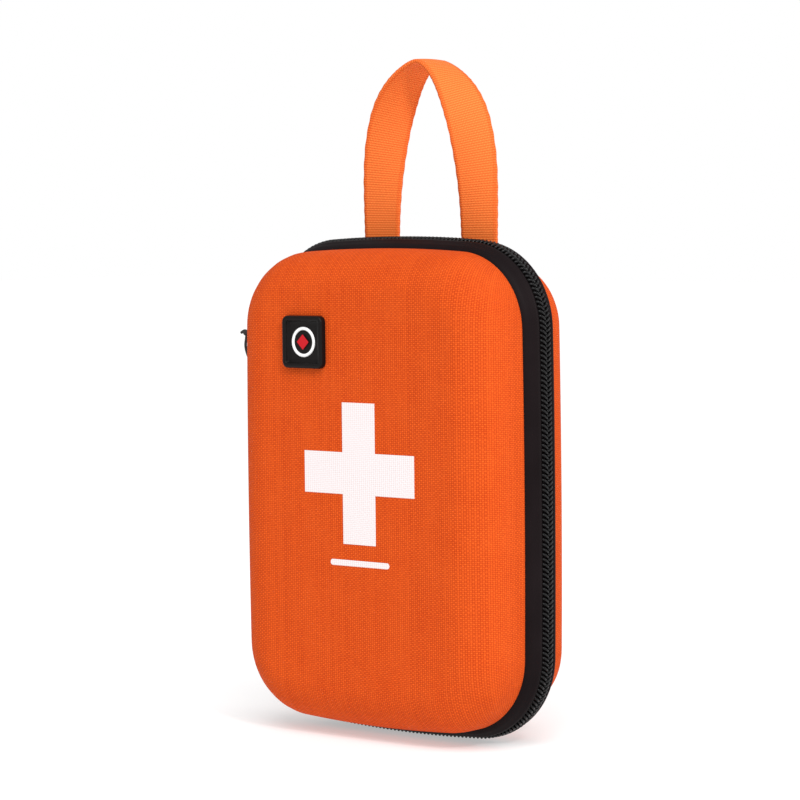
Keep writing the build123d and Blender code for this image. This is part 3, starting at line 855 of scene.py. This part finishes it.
def emblem_ring(radius, band, height):
    """Raised ring with a rounded top."""
    bm = bmesh.new()
    angle_steps = 48
    half = band / 2
    row = []
    for k in range(7):
        bend = pi * k / 6
        row.append(bm.verts.new((radius + half * cos(bend), -height * sin(bend) ** 0.6, 0.0)))
    edges = [bm.edges.new(pair) for pair in zip(row, row[1:])]
    bmesh.ops.spin(bm, geom=row + edges, cent=(0, 0, 0), axis=(0, 1, 0), angle=2 * pi,
                   steps=angle_steps, use_merge=True)
    bmesh.ops.recalc_face_normals(bm, faces=bm.faces)
    bmesh.ops.translate(bm, verts=bm.verts, vec=badge_middle + emblem_sunk)
    return bm


def emblem_diamond(half, height):
    """Raised diamond with bevelled sides."""
    bm = bmesh.new()
    bmesh.ops.create_circle(bm, cap_ends=True, segments=4, radius=half)
    bmesh.ops.rotate(bm, cent=(0, 0, 0), matrix=Matrix.Rotation(pi / 2, 3, "X"), verts=bm.verts)
    front = list(bm.faces)
    for inset, rise in ((0.0, 0.6), (0.35, 0.4)):
        bmesh.ops.inset_region(bm, faces=front, thickness=max(inset, 0.001) * MM, use_even_offset=True)
        bmesh.ops.translate(bm, verts=list({v for f in front for v in f.verts}),
                            vec=(0, -rise * height, 0))
    bmesh.ops.recalc_face_normals(bm, faces=bm.faces)
    bmesh.ops.translate(bm, verts=bm.verts, vec=badge_middle + emblem_sunk)
    return bm


ring_finish = moulded_rubber("white inlay", (0.78, 0.77, 0.77), 0.45)
diamond_finish = moulded_rubber("red inlay", (0.45, 0.008, 0.014), 0.45)
add_piece("badge_ring_inlay", emblem_ring(5.9 * MM, 1.5 * MM, 0.75 * MM), "lid", ring_finish,
          ["badge_ring"])
add_piece("badge_diamond_inlay", emblem_diamond(3.4 * MM, 0.8 * MM), "lid", diamond_finish,
          ["badge_diamond"], smooth=False)


# ---- Prints ----
# Thick white ink screened on the cloth: an equal-armed cross and a plain dash. The ink follows the
# threads, so the weave shows through it.
def white_ink():
    """White ink over the weave, thinner in the gaps between threads."""
    material, tree, shader = new_material("white ink", 0.55)
    _, axes = object_axes(tree)
    weave = place_weave(tree, joined(tree, axes[0], axes[2]), thread_across, thread_along)
    cover_mask = math_node(tree, "MULTIPLY", weave["Height"], 2.2, clamp=True)
    colour_by(tree, shader, cover_mask, (0.70, 0.55, 0.53), (0.84, 0.79, 0.80))
    add_bump(tree, shader, weave["Height"], 0.5, 0.12 * MM)
    return material


ink_finish = white_ink()
for node in ("cross_print", "dash_print"):
    dress(node, ink_finish)


# ---- Hinge strip ----
# Black polyester strip sewn over both tapes on the left side, in place of the zip's chain. It is
# all that joins the halves when the zip is open.
black_weave = black_cloth("black weave", "Object", 0.9 * MM, 0.9 * MM, (0.006, 0.005, 0.006),
                          (0.030, 0.026, 0.028))
strip_low = 48.4 * MM
strip_high = 151.5 * MM
strip_steps = 30
strip_bends = [(-8.0, 2.7), (-6.2, 1.7), (-4.5, 0.9), (-2.8, 0.35), (-1.0, 0.05), (1.0, 0.05),
               (2.8, 0.35), (4.5, 0.9), (6.2, 2.0), (8.0, 3.3)]


def hinge_cloth():
    """Strip of cloth bent over the edge of the closed case, with its thickness."""
    bm = bmesh.new()
    row = [bm.verts.new((-half_wide + inset * MM, y * MM, strip_low)) for y, inset in strip_bends]
    edges = [bm.edges.new(pair) for pair in zip(row, row[1:])]
    for _ in range(strip_steps):
        grown = bmesh.ops.extrude_edge_only(bm, edges=edges)["geom"]
        bmesh.ops.translate(bm, verts=[g for g in grown if isinstance(g, bmesh.types.BMVert)],
                            vec=(0.0, 0.0, (strip_high - strip_low) / strip_steps))
        edges = [g for g in grown if isinstance(g, bmesh.types.BMEdge)]
    bmesh.ops.solidify(bm, geom=list(bm.faces), thickness=0.7 * MM)
    bmesh.ops.recalc_face_normals(bm, faces=bm.faces)
    return bm


strip_mesh = bpy.data.meshes.new("hinge_cloth")
bm = hinge_cloth()
bm.to_mesh(strip_mesh)
bm.free()
strip_mesh.materials.append(black_weave)
for face in strip_mesh.polygons:
    face.use_smooth = True
hinge_piece = bpy.data.objects.new("hinge_cloth", strip_mesh)
scene.collection.objects.link(hinge_piece)
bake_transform(hinge_piece)
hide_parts("hinge_strip")


# ---- Slider, pull tab and end stops ----
# Die-cast zinc slider and flat tab in black lacquer, and moulded nylon stops across the tape ends.
# A narrow tongue of black cloth lies behind the pull, where the hinge strip has ended.
def softened(node, body, finish, width, smooth=False):
    """Copy of a solid with its sharp edges rounded, in place of the solid itself."""
    bm = bmesh.new()
    bm.from_mesh(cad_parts[node].data)
    bmesh.ops.remove_doubles(bm, verts=bm.verts, dist=0.002 * MM)
    bmesh.ops.dissolve_limit(bm, angle_limit=radians(2.0), verts=bm.verts, edges=bm.edges)
    sharp = [e for e in bm.edges if len(e.link_faces) == 2 and e.calc_face_angle(0.0) > radians(35)]
    bmesh.ops.bevel(bm, geom=sharp, offset=width, offset_type="OFFSET", segments=2, profile=0.5,
                    affect="EDGES", material=-1, clamp_overlap=True)
    bmesh.ops.recalc_face_normals(bm, faces=bm.faces)
    return add_piece(node + "_soft", bm, body, finish, [node], smooth)


lacquer, tree, shader = new_material("black lacquer", 0.30, 0.4)
worn = noise_value(tree, texture_vector(tree, "Object"), 900.0, 3.0)
colour_by(tree, shader, worn, (0.006, 0.006, 0.006), (0.030, 0.029, 0.028))
add_bump(tree, shader, worn, 0.15, 0.03 * MM)
softened("slider_body", "slider", lacquer, 0.25 * MM)
softened("pull_tab", "pull", lacquer, 0.2 * MM)
softened("zip_end_stops", "zip_end", coil_finish, 0.25 * MM)
tongue_middle = (-76.9 * MM, 0.0, 157.5 * MM)
tongue_size = (0.7 * MM, 2.2 * MM, 17.0 * MM)
bm = bmesh.new()
bmesh.ops.create_cube(bm, size=1.0,
                      matrix=Matrix.Translation(tongue_middle) @ Matrix.Diagonal((*tongue_size, 1.0)))
bmesh.ops.bevel(bm, geom=list(bm.edges), offset=0.2 * MM, offset_type="OFFSET", segments=2, profile=0.5,
                affect="EDGES", material=-1)
add_piece("tape_tongue", bm, "zip_end", black_weave)


# ---- Lining, foam and bindings ----
# Grey knitted lining glued over closed-cell foam. The tape's raw edge inside is covered by a black
# woven binding.
def knit(name, dark, light, pitch, roughness=0.85, strength=0.5):
    """Cloth whose threads are mapped by height and by the run across, on any face of a solid, with painted
    light on the thread tops and painted shade in the gaps.
    """
    material, tree, shader = new_material(name, roughness)
    _, axes = object_axes(tree)
    across = math_node(tree, "ADD", axes[0], math_node(tree, "MULTIPLY", axes[1], 0.83))
    weave = place_weave(tree, joined(tree, across, axes[2]), pitch, pitch * 0.85)
    # Painted shade in the gaps between threads, painted light on their tops.
    colour_by(tree, shader, weave["Height"], dark, light)
    add_bump(tree, shader, weave["Height"], strength, pitch * 0.3)
    return material


foam_finish = moulded_rubber("foam", (0.03, 0.03, 0.032), 0.9, 700.0)
lining_finish = knit("grey lining", (0.045, 0.046, 0.050), (0.12, 0.122, 0.13), 0.9 * MM)
binding_finish = knit("black binding", (0.006, 0.006, 0.006), (0.034, 0.033, 0.034), 0.8 * MM)
for node in ("lid_foam", "base_foam"):
    dress(node, foam_finish)
for node in ("lid_lining", "base_lining"):
    dress(node, lining_finish)
for node in ("lid_seam_binding", "base_seam_binding"):
    dress(node, binding_finish)


# ---- Pockets and elastics ----
# Black net across the foot of each half, hemmed along its top, and flat black elastic sewn down
# between the rolls and round the scissors.
def net():
    """Open net: black cords with clear diamond holes between them."""
    material, tree, shader = new_material("black net", 0.6)
    _, axes = object_axes(tree)
    hole_pitch = 2.6 * MM
    diagonal = math_node(tree, "ADD", axes[0], axes[2])
    other = math_node(tree, "SUBTRACT", axes[0], axes[2])
    masks = [math_node(tree, "LESS_THAN", ridges(tree, run, hole_pitch), 0.34)
             for run in (diagonal, other)]
    tree.links.new(math_node(tree, "MAXIMUM", masks[0], masks[1]), shader.inputs["Alpha"])
    shader.inputs["Base Color"].default_value = (0.012, 0.012, 0.013, 1.0)
    return material


net_finish = net()
elastic_finish = knit("black elastic", (0.007, 0.007, 0.008), (0.055, 0.054, 0.056), 1.3 * MM, 0.75, 0.8)
for node in ("lid_pocket", "base_pocket"):
    dress(node, net_finish)
for node, body in (("lid_pocket_hem", "lid"), ("base_pocket_hem", "case"), ("scissor_band", "lid")):
    softened(node, body, elastic_finish, 0.4 * MM)
dress("elastic_loops", elastic_finish)


# ---- Dressings ----
# Off-white crepe bandages wound tight, a roll of white adhesive tape on a card core, and flat
# packs in plain paper, each sealed round its edge with a pressed hatching.
def wound(name, pale, dark, middles, pitch):
    """Wound cloth: rings of edges on the ends, a fine weave round the outside, with painted shade in the
    grooves between the wound layers and painted light on their rounded tops.
    """
    material, tree, shader = new_material(name, 0.85)
    coordinates, axes = object_axes(tree)
    nearest = None
    for first, second, middle in middles:
        a = math_node(tree, "SUBTRACT", axes[first], middle[0])
        b = math_node(tree, "SUBTRACT", axes[second], middle[1])
        reach = math_node(tree, "SQRT", math_node(tree, "ADD", math_node(tree, "MULTIPLY", a, a),
                                                  math_node(tree, "MULTIPLY", b, b)))
        nearest = reach if nearest is None else math_node(tree, "MINIMUM", nearest, reach)
    rings = ridges(tree, nearest, pitch)
    grain = noise_value(tree, coordinates, 1800.0, 3.0)
    # Painted shade in the grooves between wound layers and painted light on their tops, mixed with a random
    # grain.
    shade = weighted(tree, rings, 0.6, grain, 0.4)
    colour_by(tree, shader, shade, dark, pale)
    add_bump(tree, shader, shade, 0.6, 0.15 * MM)
    return material


first_roll_x = -36.0
roll_spacing = 25.8
roll_y = 15.9 * MM
tape_roll_middle = (43.3 * MM, 170.0 * MM)
roll_row = [(0, 1, ((first_roll_x + roll_spacing * i) * MM, roll_y)) for i in range(3)]
bandage_finish = wound("crepe bandage", (0.80, 0.74, 0.64), (0.46, 0.40, 0.32), roll_row, 0.9 * MM)
softened("bandage_rolls", "case", bandage_finish, 0.6 * MM)
adhesive_finish = wound("adhesive tape", (0.82, 0.80, 0.76), (0.60, 0.57, 0.52),
                        [(0, 2, tape_roll_middle)], 0.35 * MM)
softened("tape_roll", "case", adhesive_finish, 0.3 * MM)
card_finish = moulded_rubber("card", (0.55, 0.42, 0.28), 0.85, 900.0)
softened("tape_roll_core", "case", card_finish, 0.15 * MM)


hatch_pitch = 1.1 * MM
band_height = 78.0 * MM


def paper(name, colour, stripe, band_half):
    """Sealed paper pack: plain colour, with a pale band and faint pressed hatching."""
    material, tree, shader = new_material(name, 0.55)
    coordinates, axes = object_axes(tree)
    crease = noise_value(tree, coordinates, 130.0, 4.0)
    hatch = ridges(tree, math_node(tree, "ADD", axes[0], axes[2]), hatch_pitch)
    from_band = math_node(tree, "ABSOLUTE", math_node(tree, "SUBTRACT", axes[2], band_height))
    band = math_node(tree, "LESS_THAN", from_band, band_half)
    tint = mix_colours(tree, band, colour, stripe)
    darker = tuple(c * 0.8 for c in colour)
    colour_by(tree, shader, math_node(tree, "MULTIPLY", crease, 0.5), tint, darker)
    height = weighted(tree, crease, 0.85, hatch, 0.15)
    add_bump(tree, shader, height, 0.5, 0.5 * MM)
    return material


# Each kind of pack: its node, body, paper, colours of paper and band, half the band's height, slot
# and the rounding of its edges.
packs = [
    ("gauze_packs", "case", "gauze pack", (0.80, 0.82, 0.80), (0.10, 0.30, 0.52), 4, "paper_pack", 0.9),
    ("triangular_bandage", "case", "bandage pack", (0.78, 0.76, 0.72), (0.12, 0.42, 0.24), 5,
     "paper_pack", 2.2),
    ("cleansing_wipes", "lid", "wipe sachet", (0.76, 0.80, 0.83), (0.05, 0.22, 0.50), 6, "paper_pack", 0.6),
    ("plasters", "lid", "plaster sachet", (0.84, 0.80, 0.72), (0.62, 0.30, 0.12), 3, "paper_pack", 0.5),
    ("disposable_gloves", "lid", "glove pack", (0.16, 0.30, 0.58), (0.60, 0.70, 0.82), 7,
     "glove_pack", 2.0),
]
for node, body, name, colour, stripe, band_half, slot_name, rounding in packs:
    finish = paper(name, colour, stripe, band_half * MM)
    softened(node, body, finish, rounding * MM, True)
foil, tree, shader = new_material("foil", 0.22, 1.0)
shader.inputs["Base Color"].default_value = (0.78, 0.78, 0.80, 1.0)
add_bump(tree, shader, noise_value(tree, texture_vector(tree, "Object"), 160.0, 3.0), 0.5, 1.2 * MM)
softened("foil_blanket", "lid", foil, 1.4 * MM, True)


# ---- Tools ----
# Plain stainless scissors with ring handles, tweezers and two safety pins, drawn steel with a
# brushed finish.
steel, tree, shader = new_material("brushed steel", 0.28, 1.0)
brushed = noise_value(tree, texture_vector(tree, "Object", (40.0, 400.0, 2600.0)), 1.0, 3.0)
colour_by(tree, shader, brushed, (0.42, 0.42, 0.43), (0.66, 0.66, 0.67))
roughness_by(tree, shader, brushed, 0.2, 0.2)
for node, body in (("scissor_blade_back", "lid"), ("scissor_blade_front", "scissor_arm"),
                   ("scissor_rivet", "lid"), ("tweezers", "lid"), ("safety_pins", "lid")):
    softened(node, body, steel, 0.2 * MM)
